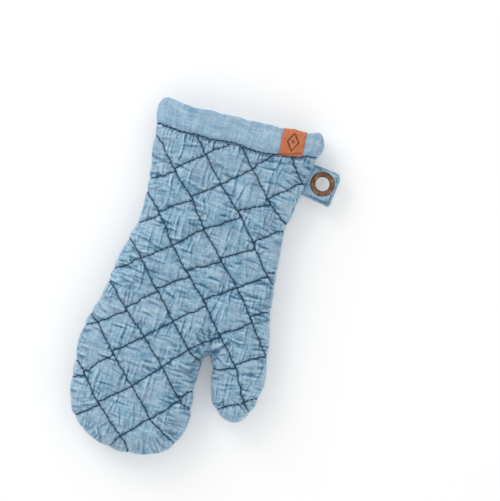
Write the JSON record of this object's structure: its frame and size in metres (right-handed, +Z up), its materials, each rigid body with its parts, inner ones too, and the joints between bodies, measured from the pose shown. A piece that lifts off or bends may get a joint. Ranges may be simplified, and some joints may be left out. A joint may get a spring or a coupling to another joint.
{
  "type": "oven mitt",
  "caption": "Quilted cloth oven mitt with a plain cuff band, a small leather label on the mouth and a hanging tab with a metal eyelet in the side seam.",
  "frame": {"origin": "middle of the overall box in plan, on the floor the mitt lies on", "axes": "+Y along the mitt towards its mouth, +X towards the thumb side, +Z up from the back panel to the front panel"},
  "size_m": [0.1882, 0.3195, 0.0406],
  "materials": {
    "shell_cloth": "washed cotton weave, quilted in diamonds",
    "band_cloth": "washed cotton weave, plain",
    "batting": "loose cotton fibre",
    "lining_cloth": "fine plain cotton",
    "thread": "twisted sewing thread",
    "label_leather": "matt vegetable-tanned leather",
    "eyelet_metal": "antiqued metal"
  },
  "bodies": {
    "palm": {"shell_front_palm": "shell_cloth", "shell_back_palm": "shell_cloth", "batting_front_palm": "batting", "batting_back_palm": "batting", "lining_front_palm": "lining_cloth", "lining_back_palm": "lining_cloth", "quilting_front_palm": "thread", "quilting_back_palm": "thread", "seam_thread_palm": "thread", "cuff_band_front": "band_cloth", "cuff_band_back": "band_cloth", "hem_stitching_front": "thread", "hem_stitching_back": "thread", "leather_label": "label_leather", "label_stitching": "thread"},
    "fingers": {"shell_front_fingers": "shell_cloth", "shell_back_fingers": "shell_cloth", "batting_front_fingers": "batting", "batting_back_fingers": "batting", "lining_front_fingers": "lining_cloth", "lining_back_fingers": "lining_cloth", "quilting_front_fingers": "thread", "quilting_back_fingers": "thread", "seam_thread_fingers": "thread"},
    "thumb": {"shell_front_thumb": "shell_cloth", "shell_back_thumb": "shell_cloth", "batting_front_thumb": "batting", "batting_back_thumb": "batting", "lining_front_thumb": "lining_cloth", "lining_back_thumb": "lining_cloth", "quilting_front_thumb": "thread", "quilting_back_thumb": "thread", "seam_thread_thumb": "thread"},
    "tab": {"hanging_tab": "shell_cloth", "tab_stitching": "thread", "eyelet": "eyelet_metal", "eyelet_washer": "eyelet_metal"}
  },
  "joints": [
    {"name": "finger_flex", "type": "hinge", "parent": "palm", "child": "fingers", "pos_m": [-0.036, -0.06225, 0.041], "axis": [-1, 0, 0], "range_deg": [0, 60], "stiffness_Nm_per_rad": 0.05},
    {"name": "thumb_flex", "type": "hinge", "parent": "palm", "child": "thumb", "pos_m": [0.04568, -0.03468, 0.041], "axis": [-0.7071, -0.7071, 0], "range_deg": [0, 45], "stiffness_Nm_per_rad": 0.03},
    {"name": "tab_swing", "type": "hinge", "parent": "palm", "child": "tab", "pos_m": [0.06983, 0.11776, 0.016], "axis": [-0.1483, -0.9889, 0], "range_deg": [-55, 55], "stiffness_Nm_per_rad": 0.02, "springref_deg": 1.43}
  ]
}
